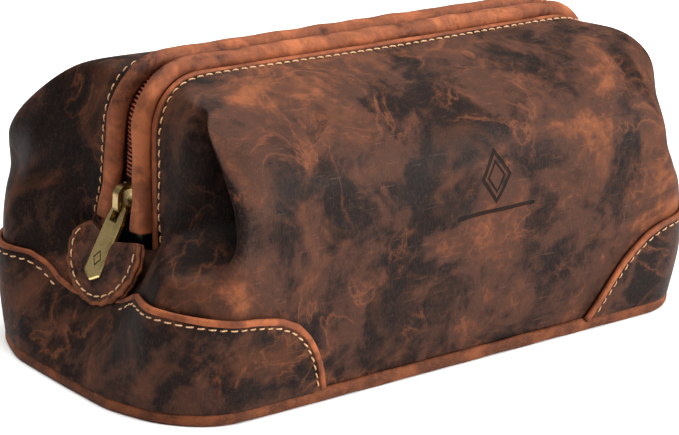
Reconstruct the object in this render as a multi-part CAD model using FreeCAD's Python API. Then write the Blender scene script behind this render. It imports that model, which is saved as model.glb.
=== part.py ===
"""Framed leather shaving kit bag: a soft body on a stiff base, closed at the top by two hinged wire frames and one zip.

Millimetres. +X runs along the bag, -Y is the front face and +Z is up. The origin is the middle of the base,
on the surface that the bag stands on. The zip slider is parked at the -X end, called left.
"""

import FreeCAD, Part
import math
import os

V = FreeCAD.Vector

# ---- overall sizes ----
BASE_LENGTH = 254.0        # over the base piping
BASE_WIDTH = 120.0         # over the base piping
BASE_CORNER = 32.0         # corner radius over the base piping
PIPING_PROUD = 1.0         # the base piping stands out this far from the wall
PIPING_R = 2.2
LEATHER = 1.8              # body leather
LINING = 0.7
LAYER_GAP = 0.1            # between leather, lining and board
SWING_GAP = 0.5            # between the fixed lower body and the swinging upper body
TRIM = 400.0               # size of cutting blocks, larger than the bag

# ---- lower body: level sections at the base, at mid height and at the split ----
BODY_HX = BASE_LENGTH / 2 - PIPING_PROUD
BODY_HY = BASE_WIDTH / 2 - PIPING_PROUD
BODY_R = BASE_CORNER - PIPING_PROUD
BODY_Z0 = 2 * PIPING_R + 0.2          # lower edge of the walls
MID_Z = 30.0
SPLIT_Z = 58.5                        # upper edge of the lower walls
BULGE_HY = 62.0                       # half width from mid height up
MID_HX, MID_R = 123.0, 26.0
TOP_HX, TOP_R = 119.0, 20.0           # half length over the bulging corners, at SPLIT_Z
END_BULGE = 0.6                       # the end wall's swell at the base
MID_DIP_HX = 112.0                    # half length in the middle of the end, drawn in under the frame's foot
TOP_DIP_HX = 105.0
DIP_HY = 20.0                         # half width of the drawn-in part
BASE_SHOULDER_HY = 24.0               # where the drawn-in part has met the bulging corner
MID_SHOULDER_HY = 31.0
TOP_SHOULDER_HY = 30.0
NOTCH_HY = 24.0                       # room for the frame's legs to swing past the end wall
NOTCH_Z = 41.0
SEAM_GAP = 0.2                        # between the two body panels where they meet at the ends

# ---- base ----
BASE_LEATHER = 2.2
BOARD = 2.0
BOARD_INSET = 2.0

# ---- end panels: outline of the seam, as half length and height ----
SEAM_X = 61.5
SEAM_Z = 35.0
LEFT_SEAM = [(SEAM_X, 16.0), (72.0, 31.5), (98.0, SEAM_Z)]
RIGHT_SEAM = [(SEAM_X, 5.0), (76.0, 25.0), (100.0, SEAM_Z)]
SEAM_ROUND = 7.0
EDGING_WIDTH = 3.0
EDGING_THICK = 1.1

# ---- hinged frames ----
PIVOT_Z = 50.0
LEG_X = 102.5                         # frame wire's centre line in the legs
FRAME_TOP = 107.0                     # frame wire's centre line along the top
FRAME_CORNER = 20.0
WIRE_R = 1.75
BEAD_R = 3.3
BEAD_BORE = WIRE_R + 0.1
ZIP_GROOVE = 2.5                      # half the gap between the two beads, along the top
LEG_SPREAD = 4.0                      # the beads stand this much further apart at the pivot height
BEAD_END = 53.0                       # the beads' open lower ends
STRIP_END = 46.0                      # lower ends of the welts and turned edges
FRAME_Y = ZIP_GROOVE + BEAD_R
EYE_R = 3.6
EYE_THICK = 1.3
EYE_GAP = 0.2
PIN_R = 1.5
PIN_RUN = 0.05                        # running clearance of an eye on its pin
FOOT_Z = BEAD_END - WIRE_R - 0.3        # lower end of the wire, clear of the bead
PIN_HEAD_R = 2.6
PIN_HEAD = 0.9
BRACKET_THICK = 1.0
BRACKET_HY = 3.6
BRACKET_LOW = 30.5
BRACKET_TOP = 54.1
LINING_SLOT = 0.6                     # the lining stays this far from the bracket's tongue

# ---- zip mouth: strips beside each frame ----
WELT_WIDTH = 3.0
WELT_THICK = 1.6
WELT_SET = 1.2                        # the welt's edge lies this far inside the bead's centre line
FLANGE_DEPTH = 8.3                    # the panel's turned edge, from the welt inwards
FLANGE_THICK = 1.4
STRIP_GAP = 0.15
TAPE_THICK = 0.8
TAPE_UNDER_BEAD = 1.1
TAPE_WIDTH = 10.0
COIL_THICK = 2.0
COIL_WIDTH = 1.9
ZIP_CENTRE_GAP = 0.8                  # half the gap between the coils, where the slider's web runs

# ---- slider and pull, in the middle of the left leg ----
SLIDER_Z = 57.0                       # lower end
SLIDER_LENGTH = 10.0
SLIDER_HY = 3.6
SLIDER_PLATE = 1.3
SLIDER_FLANGE = 0.55
SLIDER_RUN = 0.3                      # clearance of the slider on tape and coil
WEB_HY = 0.5
WEB_LENGTH = 3.0
CROWN_HY = 1.5
CROWN_THICK = 1.4
CROWN_HEIGHT = 5.6
PULL_BAR_R = 0.9
PULL_LENGTH = 28.5
PULL_HY = 4.4
PULL_THICK = 1.8
PULL_HOLE_HY = 2.0
PULL_HOLE = 5.4
PULL_LEAN = 26.5                      # degrees from hanging plumb, lying on the tab
PULL_TIP = 2.6
STOP_HEIGHT = 2.0

# ---- end tabs ----
TAB_HY = 18.0
TAB_STRAIGHT = 2.0
TAB_LAYER = 1.05
TAB_TOP_Z = 46.0
TAB_TOP_X = 107.6
TAB_LEAN = 21.0


def save(name, shape):
    """Writes one node."""
    shape = shape.removeSplitter() if len(shape.Solids) == 1 else shape
    solids = shape.Solids
    assert solids and all(s.isValid() and s.Volume > 0 for s in solids), name
    out = solids[0] if len(solids) == 1 else Part.makeCompound(solids)
    out.exportStep("parts/" + name + ".step")


def mirror_x(shape):
    return shape.mirror(V(0, 0, 0), V(1, 0, 0))


def mirror_y(shape):
    return shape.mirror(V(0, 0, 0), V(0, 1, 0))


def box(x0, x1, y0, y1, z0, z1):
    return Part.makeBox(x1 - x0, y1 - y0, z1 - z0, V(x0, y0, z0))


def rounded(points, radii):
    """A closed wire through points, with an arc of the given radius at each corner that has one."""
    count = len(points)
    starts, ends, arcs = [], [], []
    for i, (p, r) in enumerate(zip(points, radii)):
        before, after = points[i - 1], points[(i + 1) % count]
        if not r:
            starts.append(p)
            ends.append(p)
            arcs.append(None)
            continue
        u = (before - p).normalize()
        w = (after - p).normalize()
        half = u.getAngle(w) / 2
        reach = r / math.tan(half)
        middle = p + (u + w).normalize() * (r / math.sin(half) - r)
        starts.append(p + u * reach)
        ends.append(p + w * reach)
        arcs.append(Part.Arc(starts[-1], middle, ends[-1]).toShape())
    edges = []
    for i in range(count):
        if arcs[i]:
            edges.append(arcs[i])
        edges.append(Part.LineSegment(ends[i], starts[(i + 1) % count]).toShape())
    return Part.Wire(edges)


def slab(hx, hy, r, z0, z1):
    """A rounded rectangular plate between two heights."""
    corners = [V(hx, hy, z0), V(-hx, hy, z0), V(-hx, -hy, z0), V(hx, -hy, z0)]
    return Part.Face(rounded(corners, [r] * 4)).extrude(V(0, 0, z1 - z0))


# ---- lower body ----

def body_section(hx, hy, r, end_hx, shoulder_hy, z):
    """A level section of the body: straight front and back, round corners, and ends drawn in to end_hx."""
    cx, cy = hx - r, hy - r
    d = r * math.sqrt(0.5)
    end = [(hx, -cy), (hx, -shoulder_hy), (end_hx, -DIP_HY), (end_hx, DIP_HY), (hx, shoulder_hy), (hx, cy)]
    right = [V(x, y, z) for x, y in end]
    left = [V(-x, -y, z) for x, y in end]
    edges = [Part.LineSegment(V(-cx, -hy, z), V(cx, -hy, z))]
    edges.append(Part.Arc(V(cx, -hy, z), V(cx + d, -cy - d, z), right[0]))
    edges += [Part.LineSegment(p, q) for p, q in zip(right, right[1:])]
    edges.append(Part.Arc(right[-1], V(cx + d, cy + d, z), V(cx, hy, z)))
    edges.append(Part.LineSegment(V(cx, hy, z), V(-cx, hy, z)))
    edges.append(Part.Arc(V(-cx, hy, z), V(-cx - d, cy + d, z), left[0]))
    edges += [Part.LineSegment(p, q) for p, q in zip(left, left[1:])]
    edges.append(Part.Arc(left[-1], V(-cx - d, -cy - d, z), V(-cx, -hy, z)))
    return Part.Wire([e.toShape() for e in edges])


def body_block(inset, z0=BODY_Z0):
    """The lower body as a full block, inset from its outer face, with its floor raised to z0."""
    n = inset
    base_dip = BODY_HX + END_BULGE - n
    low = body_section(BODY_HX - n, BODY_HY - n, BODY_R - n, base_dip, BASE_SHOULDER_HY, BODY_Z0)
    mid = body_section(MID_HX - n, BULGE_HY - n, MID_R - n, MID_DIP_HX - n, MID_SHOULDER_HY, MID_Z)
    top = body_section(TOP_HX - n, BULGE_HY - n, TOP_R - n, TOP_DIP_HX - n, TOP_SHOULDER_HY, SPLIT_Z)
    block = Part.makeLoft([low, mid], True, True).fuse(Part.makeLoft([mid, top], True, True))
    if z0 > BODY_Z0:
        block = block.common(box(-TRIM, TRIM, -TRIM, TRIM, z0, TRIM))
    return block


def end_notches():
    left = box(-TRIM, -TOP_DIP_HX / 2, -NOTCH_HY, NOTCH_HY, NOTCH_Z, TRIM)
    return left.fuse(mirror_x(left))


def seam_region(seam, inset=0.0):
    """The block that holds the right end panel, bounded by its seam; a wider inset keeps back from the seam."""
    points = [V(SEAM_X, -TRIM / 2, -TRIM / 2)] + [V(x, -TRIM / 2, z) for x, z in seam]
    points += [V(TRIM / 2, -TRIM / 2, SEAM_Z), V(TRIM / 2, -TRIM / 2, -TRIM / 2)]
    wire = rounded(points, [0] + [SEAM_ROUND] * len(seam) + [0, 0])
    if inset:
        wire = wire.makeOffset2D(-inset)
    return Part.Face(wire).extrude(V(0, TRIM, 0))


def lower_body():
    walls = body_block(0).cut(body_block(LEATHER)).cut(end_notches())
    skin = body_block(-EDGING_THICK).cut(body_block(-LAYER_GAP / 2)).cut(end_notches())
    ends = {}
    for side, seam, place in (("left", LEFT_SEAM, mirror_x), ("right", RIGHT_SEAM, lambda s: s)):
        region = place(seam_region(seam))
        ends[side] = region
        save(side + "_end_panel", walls.common(region))
        edging = skin.common(region).cut(place(seam_region(seam, EDGING_WIDTH)))
        edging = edging.cut(box(-TRIM, TRIM, -TAB_HY - 1.0, TAB_HY + 1.0, 0, TRIM))
        save(side + "_end_edging", edging)
    rest = walls.cut(ends["left"]).cut(ends["right"])
    save("front_panel_lower", rest.common(box(-TRIM, TRIM, -TRIM, -SEAM_GAP / 2, 0, TRIM)))
    save("back_panel_lower", rest.common(box(-TRIM, TRIM, SEAM_GAP / 2, TRIM, 0, TRIM)))


def base():
    inset = PIPING_PROUD + PIPING_R + LAYER_GAP
    panel_inset = inset + PIPING_R - PIPING_PROUD
    hx, hy, r = BASE_LENGTH / 2, BASE_WIDTH / 2, BASE_CORNER
    save("base_panel", slab(hx - panel_inset, hy - panel_inset, r - panel_inset, 0, BASE_LEATHER))
    board = panel_inset + BOARD_INSET
    board_z = BASE_LEATHER + LAYER_GAP
    save("base_board", slab(hx - board, hy - board, r - board, board_z, board_z + BOARD))
    line = hx - PIPING_R, hy - PIPING_R, r - PIPING_R
    corners = [V(line[0], line[1], PIPING_R), V(-line[0], line[1], PIPING_R)]
    corners += [V(-line[0], -line[1], PIPING_R), V(line[0], -line[1], PIPING_R)]
    path = rounded(corners, [line[2]] * 4)
    start = path.Edges[-1].valueAt(path.Edges[-1].LastParameter)
    section = Part.Wire(Part.makeCircle(PIPING_R, start, path.Edges[-1].tangentAt(path.Edges[-1].LastParameter)))
    save("base_piping", path.makePipeShell([section], True, False))


def body_lining():
    floor_z = BASE_LEATHER + BOARD + 2 * LAYER_GAP
    outer = LEATHER + LAYER_GAP
    floor_z = max(floor_z, BODY_Z0)
    tub = body_block(outer).cut(body_block(outer + LINING, floor_z + LINING))
    slot_hy = BRACKET_HY + LINING_SLOT
    slot = box(-TRIM, TRIM, -slot_hy, slot_hy, BRACKET_LOW - LINING_SLOT, TRIM)
    save("body_lining", tub.cut(end_notches()).cut(slot))


# ---- hinged upper body: everything below is made for the front and mirrored for the back ----

SWING_INSET = LEATHER + LAYER_GAP + LINING + SWING_GAP
SWING_R = BULGE_HY - SWING_INSET
SWING_HX = TOP_HX - SWING_INSET
SWING_ROUND = TOP_R - SWING_INSET
FLAP = [(99.5, -19.5), (98.5, -24.0), (125.0, -46.0)]   # end fold in plan, right side
FLAP_ROUND = [1.5, 4.0, 0.0]


def swing_envelope(inset):
    """A drum about the hinge line with rounded rims, which swings clear inside the lower body."""
    drum = Part.makeCylinder(SWING_R - inset, 2 * (SWING_HX - inset), V(-SWING_HX + inset, 0, PIVOT_Z), V(1, 0, 0))
    rims = [e for e in drum.Edges if isinstance(e.Curve, Part.Circle)]
    return drum.makeFillet(SWING_ROUND - inset, rims)


def fold_prism(inset):
    """Upright block with the end folds in plan, open at the zip side."""
    right = [V(x, y, 0) for x, y in FLAP]
    left = [V(-x, y, 0) for x, y in FLAP]
    far_x = FLAP[-1][0]
    points = [V(FLAP[0][0], TRIM / 4, 0)] + right + [V(far_x, -TRIM / 4, 0), V(-far_x, -TRIM / 4, 0)]
    points += left[::-1] + [V(-FLAP[0][0], TRIM / 4, 0)]
    radii = [0] + FLAP_ROUND + [0, 0] + FLAP_ROUND[::-1] + [0]
    wire = rounded(points, radii)
    if inset:
        wire = wire.makeOffset2D(-inset)
    return Part.Face(wire).extrude(V(0, 0, TRIM / 2))


def leg_tilt(shape):
    """Leans a front mouth piece so that it stands LEG_SPREAD further out at the pivot height."""
    angle = math.degrees(math.atan2(LEG_SPREAD, FRAME_TOP - PIVOT_Z))
    turned = shape.copy()
    turned.rotate(V(0, 0, FRAME_TOP), V(1, 0, 0), -angle)
    return turned


def mouth_side(y):
    """Everything on the front side of the leaning plane at depth y."""
    return leg_tilt(box(-TRIM, TRIM, -TRIM, -y, -TRIM, TRIM))


def upper_shell(inset, thick):
    outer = swing_envelope(inset).common(fold_prism(inset))
    inner = swing_envelope(inset + thick).common(fold_prism(inset + thick))
    above = box(-TRIM, TRIM, -TRIM, 0, SPLIT_Z + 0.8, TRIM)
    return outer.cut(inner).common(above)


def u_band(half_in, half_out, bottom):
    """An upright arch-shaped face in the XZ plane, between two half widths measured from the middle."""
    faces = []
    for half, low in ((half_out, bottom), (half_in, bottom - 1.0)):
        top = FRAME_TOP + half - LEG_X
        r = FRAME_CORNER + half - LEG_X
        points = [V(-half, 0, low), V(-half, 0, top), V(half, 0, top), V(half, 0, low)]
        faces.append(Part.Face(rounded(points, [0, r, r, 0])))
    return faces[0].cut(faces[1])


def strip(half_in, half_out, y0, y1, bottom):
    """An arch-shaped strip on the front side, from depth y0 to y1."""
    face = u_band(half_in, half_out, bottom)
    face.translate(V(0, -y1, 0))
    return face.extrude(V(0, y1 - y0, 0))


def frame_path(bottom):
    x, z, r = LEG_X, FRAME_TOP, FRAME_CORNER
    d = r * (1 - math.sqrt(0.5))
    edges = [
        Part.LineSegment(V(-x, 0, bottom), V(-x, 0, z - r)),
        Part.Arc(V(-x, 0, z - r), V(-x + d, 0, z - d), V(-x + r, 0, z)),
        Part.LineSegment(V(-x + r, 0, z), V(x - r, 0, z)),
        Part.Arc(V(x - r, 0, z), V(x - d, 0, z - d), V(x, 0, z - r)),
        Part.LineSegment(V(x, 0, z - r), V(x, 0, bottom)),
    ]
    return Part.Wire([e.toShape() for e in edges])


def frame_rod(radius, bottom):
    section = Part.Wire(Part.makeCircle(radius, V(-LEG_X, 0, bottom), V(0, 0, 1)))
    rod = frame_path(bottom).makePipeShell([section], True, False)
    rod.translate(V(0, -FRAME_Y, 0))
    return leg_tilt(rod)


def eye_plate(x0, leg_y):
    """A flat eye round the hinge pin, joined to the foot of a leg, for the leg at +LEG_X."""
    eye = Part.makeCylinder(EYE_R, EYE_THICK, V(x0, 0, PIVOT_Z), V(1, 0, 0))
    foot_z = FOOT_Z
    foot = Part.makeCylinder(WIRE_R, EYE_THICK, V(x0, -leg_y, foot_z), V(1, 0, 0))
    reach = math.hypot(leg_y, foot_z - PIVOT_Z)
    link = box(x0, x0 + EYE_THICK, -reach, 0, -EYE_R + 1.2, EYE_R - 1.2)
    link.rotate(V(0, 0, 0), V(1, 0, 0), -math.degrees(math.atan2(foot_z - PIVOT_Z, leg_y)))
    link.translate(V(0, 0, PIVOT_Z))
    hole = Part.makeCylinder(PIN_R + PIN_RUN, EYE_THICK, V(x0, 0, PIVOT_Z), V(1, 0, 0))
    return eye.fuse(foot).fuse(link).cut(hole)


def frame_wire(outboard):
    """One frame half: the wire arch with a flat eye at the foot of each leg."""
    leg_y = FRAME_Y + LEG_SPREAD * (FRAME_TOP - FOOT_Z) / (FRAME_TOP - PIVOT_Z)
    x0 = LEG_X + EYE_GAP / 2 if outboard else LEG_X - EYE_GAP / 2 - EYE_THICK
    eye = eye_plate(x0, leg_y)
    return frame_rod(WIRE_R, FOOT_Z).fuse(eye).fuse(mirror_x(eye))


def frame_halves():
    welt_y0 = FRAME_Y + BEAD_R + STRIP_GAP
    welt_y1 = welt_y0 + WELT_WIDTH
    edge_y = welt_y1 + STRIP_GAP
    welt_out = LEG_X - WELT_SET
    flange = leg_tilt(strip(welt_out - FLANGE_DEPTH, welt_out, edge_y, edge_y + FLANGE_THICK, STRIP_END))
    panel = upper_shell(0.0, LEATHER).common(mouth_side(edge_y)).fuse(flange)
    lining_inset = LEATHER + LAYER_GAP
    lining = upper_shell(lining_inset, LINING).common(mouth_side(edge_y + FLANGE_THICK + LAYER_GAP)).cut(flange)
    tape_out = LEG_X - BEAD_R - TAPE_UNDER_BEAD
    tape_in = tape_out - TAPE_THICK
    coil_out = tape_out + COIL_THICK + 0.1
    y0 = ZIP_CENTRE_GAP
    tape = strip(tape_in, tape_out, y0, y0 + TAPE_WIDTH, BEAD_END + 1.0)
    coil = strip(tape_out + 0.1, coil_out, y0, y0 + COIL_WIDTH, SLIDER_Z + SLIDER_LENGTH + 2.0)
    pieces = {
        "panel_upper": panel,
        "lining_upper": lining,
        "bead": frame_rod(BEAD_R, BEAD_END).cut(frame_rod(BEAD_BORE, BEAD_END - 1.0)),
        "welt": leg_tilt(strip(welt_out - WELT_THICK, welt_out, welt_y0, welt_y1, STRIP_END)),
        "zip_tape": tape,
        "zip_coil": coil,
    }
    for name, shape in pieces.items():
        save("front_" + name, shape)
        save("back_" + name, mirror_y(shape))
    save("front_frame_wire", frame_wire(True))
    save("back_frame_wire", mirror_y(frame_wire(False)))


def end_inner_x(z):
    """Inner face of the end wall's drawn-in part, between mid height and the split."""
    share = (z - MID_Z) / (SPLIT_Z - MID_Z)
    return MID_DIP_HX + (TOP_DIP_HX - MID_DIP_HX) * share - LEATHER - LAYER_GAP


def bracket_outline():
    """Side view of a hinge bracket: an upright arm, then a tongue that runs down behind the end wall."""
    arm_x = LEG_X + EYE_GAP / 2 + EYE_THICK + 0.2
    out_x = arm_x + BRACKET_THICK
    bend_z = NOTCH_Z - 2.0
    join_x = end_inner_x(bend_z)
    foot_x = end_inner_x(BRACKET_LOW)
    t = BRACKET_THICK
    points = [(arm_x, BRACKET_TOP), (out_x, BRACKET_TOP), (out_x, bend_z + t), (join_x, bend_z)]
    points += [(foot_x, BRACKET_LOW), (foot_x - t, BRACKET_LOW), (join_x - t, bend_z - t), (arm_x, bend_z)]
    return Part.makePolygon([V(x, -BRACKET_HY, z) for x, z in points + points[:1]])


def hinge_brackets():
    """Steel brackets that carry the hinge pins; the tongue takes the lining's place behind the end wall."""
    bracket = Part.Face(bracket_outline()).extrude(V(0, 2 * BRACKET_HY, 0))
    arm_x = LEG_X + EYE_GAP / 2 + EYE_THICK + 0.2
    inner_x = LEG_X - EYE_GAP / 2 - EYE_THICK - 0.15
    pin = Part.makeCylinder(PIN_R, arm_x - inner_x, V(inner_x, 0, PIVOT_Z), V(1, 0, 0))
    head = Part.makeCylinder(PIN_HEAD_R, PIN_HEAD, V(inner_x - PIN_HEAD, 0, PIVOT_Z), V(1, 0, 0))
    bracket = bracket.fuse(pin).fuse(head)
    save("right_hinge_bracket", bracket)
    save("left_hinge_bracket", mirror_x(bracket))


def zip_stops():
    """Brass fins between the two halves of the zip, standing on the brackets."""
    arm_x = LEG_X + EYE_GAP / 2 + EYE_THICK + 0.2
    z = SLIDER_Z - 0.4 - STOP_HEIGHT
    stop = box(TAPE_OUT + 0.1, arm_x + BRACKET_THICK, -WEB_HY, WEB_HY, z, z + STOP_HEIGHT)
    foot = box(arm_x, arm_x + BRACKET_THICK, -BRACKET_HY / 2, BRACKET_HY / 2, BRACKET_TOP, z + STOP_HEIGHT / 2)
    save("right_zip_stop", stop.fuse(foot))
    save("left_zip_stop", mirror_x(stop.fuse(foot)))


# ---- slider and pull: made at the right end and mirrored to the left, where the slider is parked ----

TAPE_OUT = LEG_X - BEAD_R - TAPE_UNDER_BEAD
COIL_OUT = TAPE_OUT + 0.1 + COIL_THICK
PLATE_IN = COIL_OUT + SLIDER_RUN
PLATE_OUT = PLATE_IN + SLIDER_PLATE
BAR_X = PLATE_OUT + CROWN_HEIGHT - CROWN_THICK - PULL_BAR_R - 0.4
BAR_Z = SLIDER_Z + CROWN_THICK + PULL_BAR_R + 0.5


def slider():
    top_z = SLIDER_Z + SLIDER_LENGTH
    hy = SLIDER_HY
    plate = box(PLATE_IN, PLATE_OUT, -hy, hy, SLIDER_Z, top_z)
    plate = plate.makeFillet(1.6, [e for e in plate.Edges if abs(e.tangentAt(0).x) > 0.9])
    under_x = TAPE_OUT - TAPE_THICK - SLIDER_RUN
    under = box(under_x - SLIDER_PLATE, under_x, -hy, hy, SLIDER_Z, top_z)
    body = plate.fuse(under).fuse(box(under_x - 0.5, PLATE_IN + 0.5, -WEB_HY, WEB_HY, SLIDER_Z, SLIDER_Z + WEB_LENGTH))
    for y in (-hy, hy - SLIDER_FLANGE):
        body = body.fuse(box(TAPE_OUT + SLIDER_RUN, PLATE_IN + 0.3, y, y + SLIDER_FLANGE, SLIDER_Z + 1.6, top_z - 1.6))
    save("slider_body", mirror_x(body))
    outer = [V(PLATE_OUT, -CROWN_HY, SLIDER_Z), V(PLATE_OUT + CROWN_HEIGHT, -CROWN_HY, SLIDER_Z)]
    outer += [V(PLATE_OUT + CROWN_HEIGHT, -CROWN_HY, top_z), V(PLATE_OUT, -CROWN_HY, top_z)]
    t = CROWN_THICK
    inner = [V(PLATE_OUT - 1, -CROWN_HY, SLIDER_Z + t), V(PLATE_OUT + CROWN_HEIGHT - t, -CROWN_HY, SLIDER_Z + t)]
    inner += [V(PLATE_OUT + CROWN_HEIGHT - t, -CROWN_HY, top_z - t), V(PLATE_OUT - 1, -CROWN_HY, top_z - t)]
    arch = Part.Face(rounded(outer, [0, 2.6, 3.6, 0])).cut(Part.Face(rounded(inner, [0, 0.8, 2.2, 0])))
    save("slider_crown", mirror_x(arch.extrude(V(0, 2 * CROWN_HY, 0))))


def pull():
    """Hangs from its bar, plumb, before it is leaned onto the tab."""
    end = PULL_BAR_R - PULL_LENGTH
    hole_low = -PULL_BAR_R - PULL_HOLE
    hy, tip = PULL_HY, PULL_TIP
    bar_hy = hy - 1.0
    outline = [V(0, -bar_hy, 0), V(0, bar_hy, 0), V(0, hy, hole_low), V(0, hy, end + tip)]
    outline += [V(0, 0, end), V(0, -hy, end + tip), V(0, -hy, hole_low)]
    plate = Part.Face(rounded(outline, [0, 0, 1.5, 0.8, 1.0, 0.8, 1.5])).extrude(V(PULL_THICK, 0, 0))
    plate.translate(V(-PULL_THICK / 2, 0, 0))
    face_edges = [e for e in plate.Edges if e.BoundBox.XMin > PULL_THICK / 2 - 0.01 and e.BoundBox.ZMin < hole_low - 1]
    plate = plate.makeChamfer(0.5, face_edges)
    hole = box(-PULL_THICK, PULL_THICK, -PULL_HOLE_HY, PULL_HOLE_HY, hole_low, -PULL_BAR_R)
    upright = [e for e in hole.Edges if abs(e.tangentAt(0).x) > 0.9]
    plate = plate.cut(hole.makeFillet(0.6, upright))
    bar = Part.makeCylinder(PULL_BAR_R, 2 * bar_hy, V(0, -bar_hy, 0), V(0, 1, 0))
    above = box(-TRIM, TRIM, -PULL_HOLE_HY, PULL_HOLE_HY, -PULL_BAR_R - 0.01, TRIM)
    plate = plate.cut(above).fuse(bar)
    plate.rotate(V(0, 0, 0), V(0, 1, 0), -PULL_LEAN)
    plate.translate(V(BAR_X, 0, BAR_Z))
    save("pull_tab", mirror_x(plate))


def zip_tabs():
    """Two layers of leather over the foot of the frame at each end."""
    low = -TAB_STRAIGHT
    edges = [
        Part.LineSegment(V(0, TAB_HY, 0), V(0, -TAB_HY, 0)),
        Part.LineSegment(V(0, -TAB_HY, 0), V(0, -TAB_HY, low)),
        Part.Arc(V(0, -TAB_HY, low), V(0, 0, low - TAB_HY), V(0, TAB_HY, low)),
        Part.LineSegment(V(0, TAB_HY, low), V(0, TAB_HY, 0)),
    ]
    face = Part.Face(Part.Wire([e.toShape() for e in edges]))
    for layer, name in enumerate(("_zip_tab_backing", "_zip_tab")):
        sheet = face.extrude(V(TAB_LAYER, 0, 0))
        sheet.translate(V(layer * (TAB_LAYER + 0.05), 0, 0))
        sheet.rotate(V(0, 0, 0), V(0, 1, 0), -TAB_LEAN)
        sheet.translate(V(TAB_TOP_X, 0, TAB_TOP_Z))
        save("right" + name, sheet)
        save("left" + name, mirror_x(sheet))


os.makedirs("parts", exist_ok=True)
base()
lower_body()
body_lining()
frame_halves()
hinge_brackets()
slider()
pull()
zip_stops()
zip_tabs()
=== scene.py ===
"""Framed leather shaving kit bag: the looks, made round the CAD frame. Sizes are in millimetres."""
import math

import bmesh
import bpy
import numpy as np
from mathutils import Matrix, Vector


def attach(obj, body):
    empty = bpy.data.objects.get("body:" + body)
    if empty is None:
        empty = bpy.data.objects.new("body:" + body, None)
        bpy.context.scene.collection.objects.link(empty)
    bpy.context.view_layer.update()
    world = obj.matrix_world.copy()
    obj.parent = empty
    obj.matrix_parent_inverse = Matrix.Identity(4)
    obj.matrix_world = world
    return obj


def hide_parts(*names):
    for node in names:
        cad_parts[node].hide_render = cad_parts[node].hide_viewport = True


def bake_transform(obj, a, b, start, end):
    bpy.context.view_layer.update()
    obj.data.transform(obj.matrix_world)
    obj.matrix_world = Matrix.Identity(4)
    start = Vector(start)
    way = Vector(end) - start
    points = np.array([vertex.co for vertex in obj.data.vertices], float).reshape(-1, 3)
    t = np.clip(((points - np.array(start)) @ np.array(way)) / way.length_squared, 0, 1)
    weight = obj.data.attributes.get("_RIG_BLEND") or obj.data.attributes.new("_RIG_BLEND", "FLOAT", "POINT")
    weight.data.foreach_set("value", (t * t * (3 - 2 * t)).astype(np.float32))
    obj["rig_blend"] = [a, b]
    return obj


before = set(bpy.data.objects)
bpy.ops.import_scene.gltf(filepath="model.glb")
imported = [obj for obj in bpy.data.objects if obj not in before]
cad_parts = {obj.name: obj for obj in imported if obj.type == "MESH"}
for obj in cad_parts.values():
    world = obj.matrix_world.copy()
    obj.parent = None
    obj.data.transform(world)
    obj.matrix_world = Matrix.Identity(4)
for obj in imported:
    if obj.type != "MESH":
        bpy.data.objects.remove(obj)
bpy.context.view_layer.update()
MM = 0.001

# ---------------- sizes shared with the CAD frame
LEG_X = 102.5
FRAME_TOP = 107.0
FRAME_CORNER = 20.0
FRAME_Y = 5.8
LEG_TILT = 4.0 / (FRAME_TOP - 50.0)
BEAD_R = 3.3
BEAD_END = 53.0
WELT_Y0 = 9.35
WELT_Y1 = 12.25
WELT_SET = 1.2
STRIP_END = 46.0
BASE_Z = 4.5
COIL_OUT = 100.2

# Half sections of the bag's outer skin, from the middle of one end to the middle of the front.
# Each row runs from the base up to the mouth as (distance along, distance out, height).
SKIN = {
    "end": [(127.2, 0, 4.5), (122.3, 0, 14), (118.3, 0, 22), (114.8, 0, 29), (111.8, 0, 34.5),
            (109.3, 0, 39), (107.3, 0, 42.5), (105.8, 0, 45), (104.8, 0, 46.5)],
    "foot": [(126.9, 20, 4.5), (124, 20, 14), (120.6, 20, 22.5), (117.2, 20, 29.5), (114.4, 20, 35),
             (111.2, 20, 39.5), (107.5, 19.8, 43.5), (104.1, 19, 46.5), (101.6, 17, 49)],
    "leg_low": [(125.8, 29, 4.5), (124.3, 28.7, 15), (121.7, 28.4, 26), (118.2, 28.2, 35.5),
                (114.6, 27.8, 43), (110.6, 27.2, 49), (106.2, 25.6, 53.5), (103, 22.3, 57.3), (101.3, 15.9, 60)],
    "leg_mid": [(122.5, 38.5, 4.5), (123.6, 37.7, 16.5), (122.8, 37.3, 28.5), (120.2, 37.2, 40.5),
                (116, 36.8, 49.5), (110, 36, 57), (103.8, 33.5, 64), (101.6, 25.5, 71), (101.3, 14.8, 75)],
    "leg_high": [(118.5, 46, 4.5), (121, 45.5, 16.5), (121.6, 45.3, 30), (119.6, 45.3, 43), (114.8, 45, 52.5),
                 (106.8, 44, 61), (101.8, 41.5, 72), (101.2, 31, 85.5), (101.1, 13.8, 89)],
    "corner": [(110.5, 54, 4.5), (113, 54.5, 16.5), (114, 55, 30), (113, 55, 44), (109.5, 54.5, 54),
               (103, 52.5, 63), (101, 48, 77), (100, 33, 97.5), (96.9, 13.1, 99.1)],
    "ridge": [(101, 58.3, 4.5), (103, 60, 16.5), (104, 61.3, 30), (103.8, 61.8, 44), (102.5, 61, 55),
              (100.8, 58.5, 65.5), (100, 51.5, 80.5), (97.5, 35.5, 99.5), (89.5, 12.8, 104.4)],
    "shoulder": [(88, 59, 4.5), (88.5, 60.8, 16.5), (89, 62, 30), (89, 62.6, 44), (89, 62.3, 56),
                 (88.5, 61, 67), (87.5, 55.5, 82.5), (83.5, 38.5, 99), (76, 12.7, 105.9)],
    "quarter": [(50, 59, 4.5), (50, 60.8, 16.5), (50, 62, 30), (50, 62.6, 44), (49.5, 62.3, 56),
                (49, 61, 67.5), (48, 55.5, 83), (46.5, 39, 98), (45, 12.7, 105.8)],
    "middle": [(0, 59, 4.5), (0, 60.8, 16.5), (0, 62, 30), (0, 62.6, 44), (0, 62.3, 56),
               (0, 61, 67.5), (0, 55.5, 83), (0, 39, 97.6), (0, 12.7, 105.4)],
}
STATIONS = np.array(list(SKIN.values()), float)
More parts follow.
